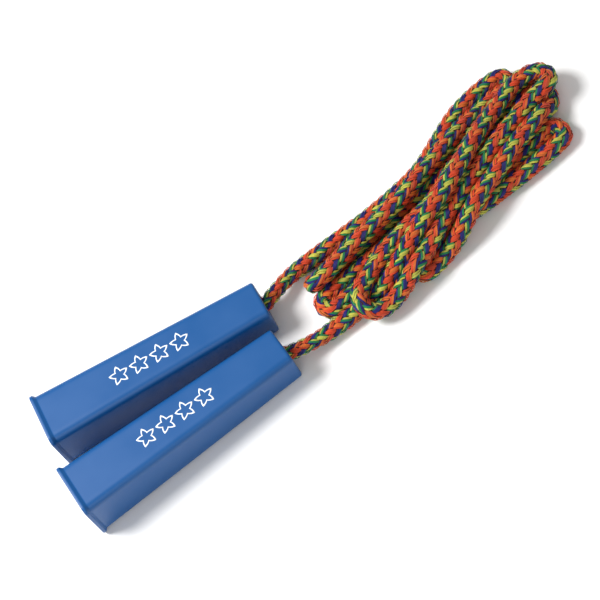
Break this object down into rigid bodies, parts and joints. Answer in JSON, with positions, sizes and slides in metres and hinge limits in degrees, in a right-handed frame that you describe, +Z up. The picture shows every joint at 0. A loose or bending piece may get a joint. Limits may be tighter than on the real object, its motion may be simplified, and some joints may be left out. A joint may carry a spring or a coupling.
{
  "type": "jump rope",
  "caption": "Jump rope with square tapered hollow handles that spin on a braided rope, which is folded into a hank for storage.",
  "frame": {"origin": "on the ground, under the middle of the box around the pair of handles", "axes": "+X along the handles from their open mouths to the rope, +Z up from the ground"},
  "size_m": [0.319, 0.0826, 0.0315],
  "materials": {
    "handle_plastic": "satin moulded, mid blue",
    "braided_rope": "braided filament yarn: orange with yellow, green and navy"
  },
  "bodies": {
    "rope": {"rope_hank": "braided_rope", "rope_lead_1": "braided_rope", "rope_lead_2": "braided_rope"},
    "handle_1": {"handle_1": "handle_plastic"},
    "handle_2": {"handle_2": "handle_plastic"},
    "rope_end_1": {"rope_end_1": "braided_rope"},
    "rope_end_2": {"rope_end_2": "braided_rope"}
  },
  "joints": [
    {"name": "handle_1_spin", "type": "hinge", "parent": "rope", "child": "handle_1", "pos_m": [0.06566, 0.0105, 0.01124], "axis": [0.9954, -0.0888, -0.0359], "continuous": true},
    {"name": "rope_end_1_slide", "type": "slide", "parent": "rope", "child": "rope_end_1", "axis": [-0.9954, 0.0888, 0.0359], "range_m": [0, 0.08]},
    {"name": "handle_2_spin", "type": "hinge", "parent": "rope", "child": "handle_2", "pos_m": [0.06087, -0.0184, 0.01124], "axis": [0.999, 0.0262, -0.0359], "continuous": true},
    {"name": "rope_end_2_slide", "type": "slide", "parent": "rope", "child": "rope_end_2", "axis": [-0.999, -0.0262, 0.0359], "range_m": [0, 0.08]}
  ]
}
